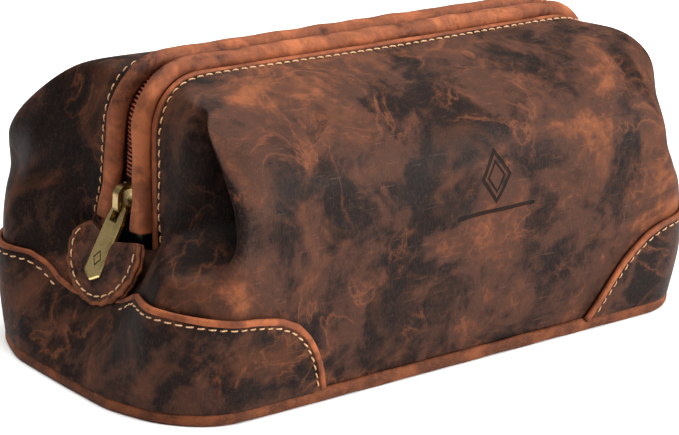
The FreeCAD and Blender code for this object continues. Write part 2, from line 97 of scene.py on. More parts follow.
LAST = len(STATIONS) - 1


def spline(points, where):
    """Natural cubic spline through points, read at positions from 0 to their count less one."""
    k = len(points)
    a = np.zeros((k, k))
    a[0, 0] = a[-1, -1] = 1
    for i in range(1, k - 1):
        a[i, i - 1:i + 2] = 1, 4, 1
    flat = points.reshape(k, -1)
    rhs = np.zeros_like(flat)
    rhs[1:-1] = 6 * (flat[2:] - 2 * flat[1:-1] + flat[:-2])
    m = np.linalg.solve(a, rhs)
    where = np.asarray(where, float)
    i = np.clip(where.astype(int), 0, k - 2)
    u = (where - i)[:, None]
    out = flat[i] * (1 - u) + flat[i + 1] * u
    out = out + ((1 - u) ** 3 - (1 - u)) * m[i] / 6 + (u ** 3 - u) * m[i + 1] / 6
    return out.reshape((len(where),) + points.shape[1:])


def waves(p, scale, seed):
    """A smooth repeatable field of about -1 to 1 over points p, with features about scale across."""
    rng = np.random.default_rng(seed)
    total = np.zeros(p.shape[:-1])
    for _ in range(7):
        k = rng.normal(size=3)
        k *= (0.7 + 0.6 * rng.random()) * math.pi / scale / np.linalg.norm(k)
        total += np.sin(p @ k + rng.random() * 2 * math.pi)
    return total / 3.0


# The deep fold beside the zip's parked end: height, then the fold's two edges and its depth.
FOLD_Z = [50, 52, 54, 58, 60.5, 64, 73.5, 82, 87, 91, 97, 101, 104]
FOLD_NEAR = [25, 25.5, 26, 26.6, 27, 28.5, 31.5, 32.5, 32.5, 32.3, 31.5, 30, 28]
FOLD_FAR = [57.5, 57.5, 57.5, 57.5, 57.5, 57, 54, 49, 45, 42, 37, 33.5, 29.5]
FOLD_DEPTH = [0, 3, 8, 14, 16, 18, 20, 19, 17, 15, 10, 5, 0]
# The other three corners hang out instead: reach, and where across the bag it begins, is full, and ends.
SLUMP_Z = [28, 40, 50, 58, 66, 74, 82, 90, 97, 102, 106]
SLUMP = {
    (-1, 1): (14.0, 24, 40, 90, [0, 0.1, 0.25, 0.45, 0.75, 1.0, 0.9, 0.6, 0.3, 0.1, 0]),
    (1, -1): (8.0, 13, 25, 38, [0, 0.1, 0.2, 0.5, 0.8, 1.0, 1.0, 0.9, 0.7, 0.4, 0]),
    (1, 1): (11.0, 18, 34, 90, [0, 0.2, 0.4, 0.6, 0.8, 1.0, 0.95, 0.6, 0.3, 0.15, 0]),
}


def unit(v):
    return v / np.maximum(np.linalg.norm(v, axis=-1, keepdims=True), 1e-9)


def circle(count):
    return np.arange(count) / count * 2 * math.pi


def rounded(v, power):
    """Squares off a sine or cosine, so that a ring of them bounds a soft-cornered bar."""
    return np.sign(v) * np.abs(v) ** power


def smooth(t):
    """0 to 1 with level ends."""
    t = np.clip(t, 0, 1)
    return t * t * (3 - 2 * t)


def across_fold(p):
    """Place across the deep fold: 0 at its near edge, 1 at the ridge. Also its depth there."""
    ay, z = np.abs(p[..., 1]), p[..., 2]
    near, far = np.interp(z, FOLD_Z, FOLD_NEAR), np.interp(z, FOLD_Z, FOLD_FAR)
    depth = np.interp(z, FOLD_Z, FOLD_DEPTH, left=0, right=0)
    depth = depth * smooth((-p[..., 0] - 84) / 10)
    return (ay - near) / (far - near), depth


def blur(field, columns, rows):
    """Gaussian smoothing of a grid of values, by spreads given in columns and rows."""
    for axis, spread in ((0, columns), (1, rows)):
        half = int(3 * spread)
        kernel = np.exp(-0.5 * (np.arange(-half, half + 1) / spread) ** 2)
        kernel /= kernel.sum()
        pads = [(half, half) if i == axis else (0, 0) for i in range(field.ndim)]
        padded = np.pad(field, pads, mode="edge")
        count = field.shape[axis]
        field = sum(k * np.take(padded, np.arange(i, i + count), axis=axis) for i, k in enumerate(kernel))
    return field


def fold(p, side, columns, rows):
    """Presses the deep fold into one corner, lets the others hang, and adds soft waves."""
    move = np.zeros(p.shape)
    if side < 0:
        u, depth = across_fold(p)
        v = np.clip(u, 0, 1)
        press = depth * v ** 1.3 * (1 - v) ** 0.7 / 0.262
        ridge = 1.8 * np.exp(-((u - 1.12) / 0.15) ** 2) * depth / 18
        lean = 0.45 * np.clip((p[..., 2] - 80) / 20, 0, 1)
        move[..., 0] += press - ridge * 0.8
        move[..., 1] += ridge * 0.6
        move[..., 2] -= press * lean
    for (sx, sy), (reach, begin, full, end, shares) in SLUMP.items():
        if sy != side:
            continue
        ax, ay, z = sx * p[..., 0], np.abs(p[..., 1]), p[..., 2]
        across = smooth((ay - begin) / (full - begin)) * (1 - smooth((ay - end) / 14))
        move[..., 0] += sx * reach * np.interp(z, SLUMP_Z, shares) * across * smooth((ax - 78) / 20)
        if sx > 0:
            low = z - 71 + 0.25 * (ay - 40)
            crease = 2.6 * np.exp(-(low / 4.0) ** 2)
            move[..., 0] -= crease * smooth((ax - 92) / 14) * smooth((ay - begin) / 10)
    p = p + blur(move, columns, rows)
    ay, z = np.abs(p[..., 1]), p[..., 2]
    upper = np.clip((z - 20) / 40, 0, 1)
    wave = 0.9 * waves(p, 26, 3) * upper + 0.35 * waves(p, 9, 8) * upper
    edge = np.clip((105 - z) / 6, 0, 1) * np.clip((z - 6) / 10, 0, 1)
    foot = np.clip((ay - 17) / 6, 0, 1)
    p[..., 1] += np.sign(p[..., 1]) * wave * edge * foot
    return p


def loft(along, rows):
    """Points of the plain half skin: along counts stations from the left end's middle to the right end's."""
    along = np.asarray(along, float)
    full = np.concatenate([STATIONS * [-1, 1, 1], STATIONS[:-1][::-1]])
    grid = spline(full, along)
    return np.swapaxes(spline(np.swapaxes(grid, 0, 1), np.asarray(rows, float)), 0, 1)


def skin(side, along, rows):
    """Points of the skin on the front (side -1) or back (side 1), with its folds."""
    fine = len(rows) > 90 and len(along) > 250
    grid = fold(loft(along, rows), side, *((3.6, 1.6) if fine else (1.3, 0.7)))
    grid[..., 1] *= side
    return grid


def normals(grid):
    """Unit normals of a grid of points, by finite differences."""
    du = np.gradient(grid, axis=0)
    dv = np.gradient(grid, axis=1)
    n = np.cross(du, dv)
    return unit(n)


def outward(grid):
    """Normals that point away from the bag, evened out on a fine grid."""
    n = normals(grid)
    if min(grid.shape[:2]) > 40:
        n = blur(n, 3.0, 1.5)
        n = unit(n)
    centre = np.array([0, 0, 45.0])
    flip = np.sign(np.sum(n * (grid - centre), axis=-1).mean())
    return n * flip


def attribute(obj, name, values, kind="FLOAT"):
    a = obj.data.attributes.get(name) or obj.data.attributes.new(name, kind, "POINT")
    key = "vector" if kind == "FLOAT_VECTOR" else "value"
    a.data.foreach_set(key, np.asarray(values, np.float32).ravel())


def mesh_object(name, verts, faces, material):
    """A piece from vertices in millimetres, with its rest place kept for its material."""
    mesh = bpy.data.meshes.new(name)
    verts = np.asarray(verts, float)
    mesh.from_pydata((verts * MM).tolist(), [], [tuple(int(i) for i in f) for f in faces])
    mesh.validate()
    mesh.polygons.foreach_set("use_smooth", [True] * len(mesh.polygons))
    obj = bpy.data.objects.new(name, mesh)
    bpy.context.scene.collection.objects.link(obj)
    obj.data.materials.append(material)
    attribute(obj, "rest_mm", verts, "FLOAT_VECTOR")
    bm = bmesh.new()
    bm.from_mesh(mesh)
    bmesh.ops.recalc_face_normals(bm, faces=bm.faces)
    bm.to_mesh(mesh)
    bm.free()
    return obj


def belongs(obj, body, node):
    """Rides on a body and stands in for a CAD node, which it hides."""
    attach(obj, body)
    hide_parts(node)


def opens(obj, side, weight):
    """Blends a piece from the bag to its half of the mouth, by its own share at each vertex."""
    frame_body = "front_frame" if side < 0 else "back_frame"
    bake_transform(obj, "bag", frame_body, (0, side * 0.060, 0.045), (0, side * 0.017, 0.108))
    attribute(obj, "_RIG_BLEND", weight)


def grid_faces(nu, nv, closed_u=False, closed_v=False, start=0):
    faces = []
    for i in range(nu if closed_u else nu - 1):
        for j in range(nv if closed_v else nv - 1):
            a, b = i, (i + 1) % nu
            c, d = j, (j + 1) % nv
            faces.append((start + a * nv + c, start + b * nv + c, start + b * nv + d, start + a * nv + d))
    return faces


def thick_sheet(outer, inner):
    """Vertices and faces of a closed sheet between two grids."""
    nu, nv = outer.shape[:2]
    verts = np.concatenate([outer.reshape(-1, 3), inner.reshape(-1, 3)])
    k = nu * nv
    faces = grid_faces(nu, nv) + [f[::-1] for f in grid_faces(nu, nv, start=k)]
    rim = [(i, 0) for i in range(nu)] + [(nu - 1, j) for j in range(1, nv)]
    rim += [(i, nv - 1) for i in range(nu - 2, -1, -1)] + [(0, j) for j in range(nv - 2, 0, -1)]
    ids = [i * nv + j for i, j in rim]
    for a, b in zip(ids, ids[1:] + ids[:1]):
        faces.append((a, b, b + k, a + k))
    return verts, faces


# ---------------- materials
class Nodes:
    """Short calls for building one material's nodes."""

    def __init__(self, name):
        self.mat = bpy.data.materials.new(name)
        self.mat.use_nodes = True
        self.tree = self.mat.node_tree
        self.bsdf = self.tree.nodes["Principled BSDF"]

    def put(self, socket, value):
        if isinstance(value, bpy.types.NodeSocket):
            self.tree.links.new(value, socket)
        else:
            socket.default_value = value

    def math(self, operation, a, b=0.0):
        node = self.tree.nodes.new("ShaderNodeMath")
        node.operation = operation
        self.put(node.inputs[0], a)
        self.put(node.inputs[1], b)
        return node.outputs[0]

    def place(self, rest=True):
        """Position in millimetres, kept from rest on the script's own pieces."""
        if rest:
            node = self.tree.nodes.new("ShaderNodeAttribute")
            node.attribute_name = "rest_mm"
            return node.outputs["Vector"]
        coords = self.tree.nodes.new("ShaderNodeTexCoord")
        node = self.tree.nodes.new("ShaderNodeVectorMath")
        node.operation = "SCALE"
        self.put(node.inputs[0], coords.outputs["Object"])
        node.inputs["Scale"].default_value = 1 / MM
        return node.outputs[0]

    def stretch(self, vector, scale, turn=(0, 0, 0), shift=(0, 0, 0)):
        node = self.tree.nodes.new("ShaderNodeMapping")
        self.put(node.inputs["Vector"], vector)
        node.inputs["Scale"].default_value = scale
        node.inputs["Rotation"].default_value = turn
        node.inputs["Location"].default_value = shift
        return node.outputs[0]

    def noise(self, vector, size, detail=3.0, rough=0.55, warp=0.0):
        node = self.tree.nodes.new("ShaderNodeTexNoise")
        self.put(node.inputs["Vector"], vector)
        node.inputs["Scale"].default_value = 1.0 / size
        node.inputs["Detail"].default_value = detail
        node.inputs["Roughness"].default_value = rough
        node.inputs["Distortion"].default_value = warp
        return node.outputs["Fac"]

    def ramp(self, value, low, high, a=0.0, b=1.0):
        node = self.tree.nodes.new("ShaderNodeMapRange")
        node.interpolation_type = "SMOOTHSTEP"
        self.put(node.inputs["Value"], value)
        node.inputs["From Min"].default_value = low
        node.inputs["From Max"].default_value = high
        node.inputs["To Min"].default_value = a
        node.inputs["To Max"].default_value = b
        return node.outputs[0]

    def mix(self, share, a, b):
        node = self.tree.nodes.new("ShaderNodeMix")
        node.data_type = "RGBA"
        self.put(node.inputs[0], share)
        self.put(node.inputs[6], a if isinstance(a, bpy.types.NodeSocket) else (*a, 1))
        self.put(node.inputs[7], b if isinstance(b, bpy.types.NodeSocket) else (*b, 1))
        return node.outputs[2]

    def split(self, vector):
        node = self.tree.nodes.new("ShaderNodeSeparateXYZ")
        self.put(node.inputs[0], vector)
        return node.outputs

    def near(self, value, target, half, edge):
        """1 where value is within half of target, fading over edge."""
        off = self.math("ABSOLUTE", self.math("SUBTRACT", value, target))
        return self.ramp(off, half + edge, half)

    def vertex(self, name):
        node = self.tree.nodes.new("ShaderNodeAttribute")
        node.attribute_name = name
        return node.outputs["Fac"]

    def bump(self, height, distance, strength=1.0, under=None):
        node = self.tree.nodes.new("ShaderNodeBump")
        node.inputs["Strength"].default_value = strength
        node.inputs["Distance"].default_value = distance * MM
        self.put(node.inputs["Height"], height)
        if under is not None:
            self.put(node.inputs["Normal"], under)
        return node.outputs[0]

    def finish(self, color, roughness, normal=None, metallic=0.0, specular=0.5):
        self.put(self.bsdf.inputs["Base Color"], color)
        self.put(self.bsdf.inputs["Roughness"], roughness)
        self.bsdf.inputs["Metallic"].default_value = metallic
        self.bsdf.inputs["Specular IOR Level"].default_value = specular
        if normal is not None:
            self.put(self.bsdf.inputs["Normal"], normal)
        return self.mat


DARK = (0.011, 0.0062, 0.0052)
BROWN = (0.062, 0.028, 0.019)
RUST = (0.225, 0.080, 0.036)
PALE = (0.34, 0.18, 0.11)
PULL_LEAN = math.radians(26.5)
MARK_X, MARK_Z, BAR_Z = 10.0, 68.5, 56.5


def pressed_mark(n, p):
    """A plain lozenge over a bar, pressed into the front face."""
    x, y, z = n.split(p)
    across = n.math("ABSOLUTE", n.math("SUBTRACT", x, MARK_X))
    height = n.math("ABSOLUTE", n.math("SUBTRACT", z, MARK_Z))
    radius = n.math("ADD", n.math("MULTIPLY", across, 1.25), height)
    outer = n.near(radius, 8.6, 0.75, 0.4)
    inner = n.near(radius, 5.2, 0.4, 0.35)
    bar = n.math("MULTIPLY", n.near(z, BAR_Z, 0.45, 0.35), n.near(x, MARK_X, 18.5, 0.4))
    mark = n.math("MAXIMUM", n.math("MAXIMUM", outer, inner), bar)
    return n.math("MULTIPLY", mark, n.ramp(y, -38.0, -40.0))


def leather(name, colors=(DARK, BROWN, RUST), rest=True, level_shift=0.0, patch=34.0, gloss=0.0, marked=False):
    """Waxed pull-up leather: mottled, with light veins where it was bent, fine scuffs and a short grain, and
    near black as painted shade where the vertex tone runs low.
    """
    dark, brown, rust = colors
    n = Nodes(name)
    p = n.place(rest)
    cloud = n.noise(p, patch, 4, 0.62, 0.7)
    blot = n.noise(n.stretch(p, (1, 1, 1), shift=(71, 13, 45)), patch * 0.42, 4, 0.65, 0.9)
    fine = n.noise(p, 3.2, 5, 0.7, 0.3)
    nap = n.noise(n.stretch(p, (1.0, 1.0, 0.28), turn=(0.3, 0.5, 0.2)), 0.55, 3, 0.7)
    # the vertex tone carries rubbed wear and also painted highlights and painted shade
    wear_and_painted_light = n.vertex("tone") if rest else 0.0
    level = n.math("ADD", n.ramp(cloud, 0.36, 0.66), n.math("MULTIPLY", n.ramp(blot, 0.38, 0.70), 0.45))
    level = n.math("ADD", level, n.math("MULTIPLY", n.math("SUBTRACT", fine, 0.5), 0.9))
    level = n.math("ADD", level, level_shift)
    if rest:
        level = n.math("ADD", level, wear_and_painted_light)
    color = n.mix(n.ramp(level, 0.05, 0.85), dark, brown)
    # painted shade: where the level runs low (inside the deep fold, in the bead's bore, on the shaded ends) the
    # colour goes near black
    color = n.mix(n.ramp(level, -1.1, -0.05), (0.0025, 0.0015, 0.0013), color)
    color = n.mix(n.ramp(level, 0.85, 2.0), color, rust)
    warm = n.noise(n.stretch(p, (1, 1, 1), shift=(-33, 57, 9)), patch * 0.8, 3, 0.6, 1.2)
    color = n.mix(n.math("MULTIPLY", n.ramp(warm, 0.50, 0.80), 0.30), color, rust)
    bent = n.noise(n.stretch(p, (1, 1, 1), shift=(5, 91, 27)), 21, 5, 0.56, 0.9)
    off = n.math("ABSOLUTE", n.math("SUBTRACT", bent, 0.5))
    vein = n.math("ADD", n.ramp(off, 0.014, 0.0, 0.0, 0.5), n.ramp(off, 0.055, 0.0, 0.0, 0.4))
    where = n.ramp(n.noise(n.stretch(p, (1, 1, 1), shift=(19, 3, 77)), 30, 2, 0.5), 0.42, 0.62)
    color = n.mix(n.math("MULTIPLY", n.math("MULTIPLY", vein, where), 0.46), color, rust)
    scuff_a = n.noise(n.stretch(p, (0.09, 1.0, 1.9), turn=(0.1, 0.85, 0.3)), 1.0, 2, 0.5, 0.2)
    slanted = n.stretch(p, (0.07, 1.0, 1.7), turn=(0.4, -0.6, 0.1), shift=(9, 4, 2))
    scuff_b = n.noise(slanted, 0.9, 2, 0.5, 0.2)
    scuff = n.math("ADD", n.ramp(scuff_a, 0.66, 0.76), n.ramp(scuff_b, 0.67, 0.77))
    color = n.mix(n.math("MULTIPLY", scuff, 0.13), color, PALE)
    color = n.mix(n.math("MULTIPLY", n.ramp(nap, 0.45, 0.75), 0.07), color, PALE)
    rough = n.math("ADD", n.ramp(level, 0.0, 1.4, 0.50 - gloss, 0.66 - gloss), n.math("MULTIPLY", fine, 0.10))
    if marked:
        mark = pressed_mark(n, p)
        color = n.mix(n.math("MULTIPLY", mark, 0.82), color, (0.005, 0.003, 0.0025))
    grain = n.noise(p, 0.75, 3, 0.6)
    normal = n.bump(grain, 0.10, 0.55)
    normal = n.bump(nap, 0.10, 0.22, normal)
    normal = n.bump(bent, 0.9, 0.55, normal)
    normal = n.bump(fine, 0.35, 0.6, normal)
    if marked:
        normal = n.bump(n.math("SUBTRACT", 1.0, mark), 0.7, 1.0, normal)
    return n.finish(color, rough, normal, specular=0.13)


def raw_edge(name):
    """Cut, burnished edge of the leather: rust coloured and fibrous."""
    n = Nodes(name)
    p = n.place()
    fibre = n.noise(n.stretch(p, (0.5, 0.5, 1.6)), 0.5, 4, 0.75, 0.4)
    patch = n.noise(p, 8, 3, 0.6)
    color = n.mix(n.ramp(patch, 0.35, 0.65), (0.085, 0.028, 0.013), (0.19, 0.062, 0.025))
    color = n.mix(n.math("MULTIPLY", n.ramp(fibre, 0.5, 0.75), 0.5), color, (0.36, 0.16, 0.08))
    return n.finish(color, 0.72, n.bump(fibre, 0.35, 0.8), specular=0.25)


def thread():
    n = Nodes("waxed_thread")
    p = n.place()
    twist = n.noise(n.stretch(p, (1, 1, 1), turn=(0.5, 0.4, 0.7)), 0.35, 2, 0.6)
    color = n.mix(n.ramp(twist, 0.35, 0.7), (0.30, 0.16, 0.08), (0.74, 0.48, 0.28))
    return n.finish(color, 0.6, n.bump(twist, 0.12, 0.7), specular=0.35)


def zip_nylon():
    n = Nodes("zip_nylon")
    p = n.place()
    twist = n.noise(p, 0.6, 3, 0.6)
    color = n.mix(n.ramp(twist, 0.35, 0.7), (0.12, 0.030, 0.016), (0.42, 0.125, 0.062))
    return n.finish(color, n.ramp(twist, 0.3, 0.7, 0.28, 0.5), n.bump(twist, 0.1, 0.5), specular=0.5)


def woven(name, low, high, pitch, rest):
    """Plain weave in two thread directions."""
    n = Nodes(name)
    p = n.place(rest)
    parts = []
    for scale in ((1, 0, 0), (0, 1, 0.6)):
        wave = n.tree.nodes.new("ShaderNodeTexWave")
        wave.inputs["Scale"].default_value = 1.0 / pitch
        wave.inputs["Distortion"].default_value = 0.6
        n.put(wave.inputs["Vector"], n.stretch(p, tuple(max(v, 0.001) for v in scale)))
        parts.append(wave.outputs["Fac"])
    weave = n.math("MAXIMUM", parts[0], parts[1])
    color = n.mix(n.ramp(weave, 0.3, 0.9), low, high)
    color = n.mix(n.math("MULTIPLY", n.noise(p, 14, 3), 0.5), color, low)
    return n.finish(color, 0.75, n.bump(weave, 0.2, 0.7), specular=0.2)


def metal(name, dark, bright, brush, rough=(0.24, 0.42), engraved=False):
    """Antiqued metal: darker in patches, brushed along one way."""
    n = Nodes(name)
    p = n.place(False)
    lines = n.noise(n.stretch(p, brush), 0.35, 3, 0.6)
    stain = n.noise(p, 9, 3, 0.55, 0.3)
    color = n.mix(n.ramp(stain, 0.25, 0.60), dark, bright)
    color = n.mix(n.math("MULTIPLY", n.ramp(lines, 0.4, 0.65), 0.35), color, dark)
    normal = n.bump(lines, 0.06, 0.45)
    if engraved:
        x, y, z = n.split(p)
        x = n.math("MULTIPLY", x, -math.sin(PULL_LEAN))
        z = n.math("MULTIPLY", z, -math.cos(PULL_LEAN))
        down = n.math("ABSOLUTE", n.math("ADD", n.math("ADD", x, z), -12.7))
        cut = n.near(n.math("ADD", n.math("ABSOLUTE", y), n.math("MULTIPLY", down, 0.75)), 1.9, 0.28, 0.15)
        color = n.mix(n.math("MULTIPLY", cut, 0.9), color, (0.02, 0.016, 0.01))
        normal = n.bump(n.math("SUBTRACT", 1.0, cut), 0.25, 1.0, normal)
    return n.finish(color, n.ramp(lines, 0.3, 0.7, *rough), normal, metallic=1.0)


def board(name):
    n = Nodes(name)
    p = n.place(False)
    fibre = n.noise(n.stretch(p, (0.4, 1, 1)), 1.2, 4, 0.7)
    color = n.mix(n.ramp(fibre, 0.35, 0.7), (0.05, 0.04, 0.03), (0.13, 0.10, 0.07))
    return n.finish(color, 0.85, n.bump(fibre, 0.2, 0.5), specular=0.15)


M_BODY = leather("pull_up_leather", marked=True)
# The end leather is the body's leather made darker, as painted shade on the ends.
M_END = leather("end_leather", level_shift=-0.32, patch=28.0)
M_BEAD = leather("bead_leather", ((0.050, 0.020, 0.013), (0.175, 0.062, 0.032), (0.33, 0.115, 0.052)),
                 level_shift=0.35, patch=16.0, gloss=0.04)
M_TURN = leather("turned_edge", ((0.055, 0.021, 0.013), (0.170, 0.058, 0.029), (0.31, 0.105, 0.046)),
                 level_shift=0.45, patch=14.0, gloss=0.05)
M_TAB = leather("tab_leather", level_shift=0.05, patch=15.0)
M_EDGE = raw_edge("raw_edge")
M_THREAD = thread()
M_COIL = zip_nylon()
M_TAPE = woven("zip_tape", (0.022, 0.010, 0.007), (0.07, 0.028, 0.018), 0.5, False)
M_LINING = woven("lining_cloth", (0.028, 0.020, 0.015), (0.075, 0.055, 0.040), 0.55, True)
M_BRASS = metal("antique_brass", (0.16, 0.115, 0.05), (0.50, 0.39, 0.20), (2.2, 2.2, 0.25))
M_PULL = metal("pull_brass", (0.42, 0.30, 0.12), (0.80, 0.62, 0.30), (0.10, 2.2, 0.10), (0.24, 0.34), True)
M_STEEL = metal("frame_steel", (0.030, 0.028, 0.026), (0.075, 0.068, 0.060), (1.5, 1.5, 0.3), (0.38, 0.55))
M_BOARD = board("fibre_board")
M_BASE = leather("base_leather", rest=False, level_shift=-0.1)

# ---------------- main panels
STEPS = [8, 9, 16, 22, 24, 22, 14, 16, 16]          # columns in each gap between stations
HALF = np.concatenate([np.arange(n) / n + i for i, n in enumerate(STEPS)] + [[LAST]])
ALONG = np.concatenate([HALF, (2 * LAST - HALF[:-1])[::-1]])
ROWS = np.linspace(0, STATIONS.shape[1] - 1, 97)
PANEL_THICK = 1.6
RIDGE_THINNER = 1.2                # taken off the panel at the deep fold's ridge
LINING_DEEP, LINING_THICK = 2.3, 0.5


def follow(along, rows):
    """How far each place on the skin follows the hinged frame, 0 at the base and 1 at the mouth."""
    end = np.minimum(along, 2 * LAST - along)
    share = smooth((end - 0.75) / 0.6)
    top = rows / (STATIONS.shape[1] - 1.0)
    reach = np.interp(end, [0, 2, 4, 6, LAST], [0.55, 0.45, 0.30, 0.22, 0.22])
    return share[:, None] * smooth((top[None, :] - reach[:, None]) / (0.985 - reach[:, None]))


def tone_of(grid, side):
    """Lighter leather on the deep fold's ridge, part rubbed wear and part painted highlight, painted shade
    inside the fold, and the blots, partly the hide's own mottling and partly painted highlight and shade.
    """
    z = grid[..., 2]
    tone = np.zeros(z.shape)
    if side < 0:
        u, depth = across_fold(grid)
        ridge, inside = np.exp(-((u - 1.3) / 0.15) ** 2), np.exp(-((u - 0.72) / 0.36) ** 2)
        # lighter ridge: part rubbed wear, part painted highlight; painted shade deep in the fold's pocket
        tone += depth / 18 * (0.9 * ridge - 2.1 * inside)
    for x, y, height, size, amount in BLOTS_AND_PAINTED_LIGHT:
        r2 = (grid[..., 0] - x) ** 2 + (grid[..., 1] - y) ** 2 + (z - height) ** 2
        tone += amount * np.exp(-r2 / (2 * size * size))
    return tone


# Lighter and darker places on the leather, partly the hide's own mottling and partly painted light: painted
# highlights near the fold's ridge and the left front corner, painted shade on the back-left corner, the lower
# left end and beside the fold. Position, spread and amount.
BLOTS_AND_PAINTED_LIGHT = [
    (-97, -60, 50, 11, 0.8), (-104, -50, 46, 12, 0.5), (-86, -48, 92, 13, 0.55), (-60, -30, 103, 14, 0.35),
    (45, -58, 76, 16, 0.30), (70, -52, 86, 15, 0.25), (112, -48, 55, 12, 0.55), (98, -60, 44, 12, 0.35),
    (-40, -61, 60, 24, -0.35), (-5, -58, 78, 18, -0.25), (-60, -61, 44, 18, -0.30), (40, -62, 30, 20, -0.10),
    (80, -62, 70, 14, -0.30), (-10, -61, 22, 20, 0.18), (-121, -38, 22, 14, -0.35), (-75, -59, 16, 14, -0.30),
    (-112, 40, 78, 24, -0.95), (-106, -40, 76, 13, -0.30), (-96, -46, 66, 9, -0.55),
]


def crest(side, along, rows):
    """1 along the deep fold's ridge, where the leather doubles back on itself, fading to 0 around it."""
    if side > 0:
        return np.zeros((len(along), len(rows)))
    u, depth = across_fold(loft(along, rows) * [1, side, 1])
    return np.exp(-((u - 1.0) / 0.28) ** 2) * np.clip(depth / 12, 0, 1)


def main_panel(name, side, nodes):
    """One big panel of the body, from the base up to the mouth. Returns its points and directions."""
    grid = skin(side, ALONG, ROWS)
    out = outward(grid)
    inner = grid - out * (PANEL_THICK - RIDGE_THINNER * crest(side, ALONG, ROWS)[..., None])
    verts, faces = thick_sheet(grid, inner)
    obj = mesh_object(name, verts, faces, M_BODY)
    # the tone holds the painted highlight on the fold's ridge, the painted shade inside it and the blots
    tone = tone_of(loft(ALONG, ROWS) * [1, side, 1], side).ravel()
    attribute(obj, "tone", np.concatenate([tone, tone]))
    weight = follow(ALONG, ROWS).ravel()
    opens(obj, side, np.concatenate([weight, weight]))
    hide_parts(*nodes)
    return grid, out


FRONT, FRONT_OUT = main_panel("front_panel", -1, ["front_panel_lower", "front_panel_upper"])
BACK, BACK_OUT = main_panel("back_panel", 1, ["back_panel_lower", "back_panel_upper"])


def lining(name, side, node):
    """The cloth behind one main panel, parallel to it and nearer where the leather doubles back."""
    step = 3
    along, rows = ALONG[::step], ROWS[::step]
    grid, out = (FRONT, FRONT_OUT) if side < 0 else (BACK, BACK_OUT)
    grid, out = grid[::step, ::step], out[::step, ::step]
    thin = crest(side, along, rows)[..., None]
    deep = LINING_DEEP - 1.5 * thin
    thick = LINING_THICK - 0.3 * thin
    verts, faces = thick_sheet(grid - out * deep, grid - out * (deep + thick))
    obj = mesh_object(name, verts, faces, M_LINING)
    weight = follow(along, rows).ravel()
    opens(obj, side, np.concatenate([weight, weight]))
    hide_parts(node)


lining("front_lining", -1, "front_lining_upper")
lining("back_lining", 1, "back_lining_upper")


def floor_lining():
    """The lining over the base board, with a low upstand that the wall lining overlaps."""
    ring = skin(-1, ALONG, [0.0, 0.35])
    back = skin(1, ALONG, [0.0, 0.35])
    loop = np.concatenate([ring, back[::-1][1:-1]])
    levels = []
    for share, z in ((0.0, 5.2), (0.5, 5.25), (0.93, 5.3), (0.962, 5.6), (0.968, 9.0)):
        levels.append(loop[:, 0] * [share, share, 0] + [0, 0, z])
    grid = np.stack(levels, axis=1)
    verts = grid.reshape(-1, 3)
    obj = mesh_object("floor_lining", verts, grid_faces(len(loop), len(levels), closed_u=True), M_LINING)
    belongs(obj, "bag", "body_lining")


floor_lining()


# ---------------- sweeps and stitches
def arch(half, top, r, y_top, foot, count=240):
    """Points, outward directions and lengths along an arch over the bag, leaning as the legs do."""
    side = math.copysign(1, y_top)
    straight = top - r - foot
    arc = math.pi / 2 * r
    run = 2 * (half - r)
    total = 2 * straight + 2 * arc + run
    pts, outs = [], []
    for d in np.linspace(0, total, count):
        e = min(d, total - d)
        sx = -1 if d <= total / 2 else 1
        if e < straight:
            x, z, nx, nz = half, foot + e, 1.0, 0.0
        elif e < straight + arc:
            a = (e - straight) / r
            nx, nz = math.cos(a), math.sin(a)
            x, z = half - r + r * nx, top - r + r * nz
        else:
            x, z, nx, nz = half - r - (e - straight - arc), top, 0.0, 1.0
        pts.append((sx * x, y_top + side * LEG_TILT * (FRAME_TOP - z), z))
        outs.append((sx * nx, 0, nz))
    return np.array(pts), np.array(outs), np.linspace(0, total, count)


def sweep(points, outs, section, cap=True):
    """Sweeps section(i), k pairs of offsets outward and across, along points."""
    tangent = np.gradient(points, axis=0)
    tangent = unit(tangent)
    across = np.cross(outs, tangent)
    across = unit(across)
    rings = []
    for i in range(len(points)):
        s = section(i)
        rings.append(points[i] + s[:, :1] * outs[i] + s[:, 1:] * across[i])
    grid = np.array(rings)
    n, k = grid.shape[:2]
    faces = grid_faces(n, k, closed_v=True)
    if cap:
        faces += [tuple(range(k))[::-1], tuple((n - 1) * k + j for j in range(k))]
    return grid.reshape(-1, 3), faces


def bead(name, side, body, node):
    """The leather tube round one frame wire: round along the top and squarer at its two cut ends."""
    pts, outs, length = arch(LEG_X, FRAME_TOP, FRAME_CORNER, side * FRAME_Y, BEAD_END, 420)
    total = length[-1]
    k = 22
    angle = circle(k)
    rings = []
    field = waves(pts, 7, 21 + side)
    for i in range(len(pts)):
        near = min(length[i], total - length[i])
        boxy = 1 - smooth((near - 2) / 12)
        power = 2 + 2.0 * boxy
        c, s = np.cos(angle), np.sin(angle)
        shape = (np.abs(c) ** power + np.abs(s) ** power) ** (-1 / power)
        lumps = 0.14 * field[i] + 0.10 * np.sin(angle * 2 + length[i] * 0.35)
        r = (BEAD_R + 0.12 + lumps + 0.2 * boxy) * shape
        rings.append(np.stack([r * c, r * s * (1 + 0.06 * boxy)], axis=1))
    outer, faces = sweep(pts, outs, lambda i: rings[i], cap=False)
    bore, bore_faces = sweep(pts, outs, lambda i: rings[i] * 0.66, cap=False)
    shift = len(outer)
    verts = np.concatenate([outer, bore])
    faces += [tuple(v + shift for v in f[::-1]) for f in bore_faces]
    last = (len(pts) - 1) * k
    for j in range(k):
        m = (j + 1) % k
        faces.append((j, m, m + shift, j + shift))
        faces.append((last + m, last + j, last + j + shift, last + m + shift))
    obj = mesh_object(name, verts, faces, M_BEAD)
    # The bore's tone of -0.8 is painted shade inside the tube.
    attribute(obj, "tone", np.concatenate([np.repeat(0.25 * waves(pts, 16, 5), k), np.full(shift, -0.8)]))
    belongs(obj, body, node)


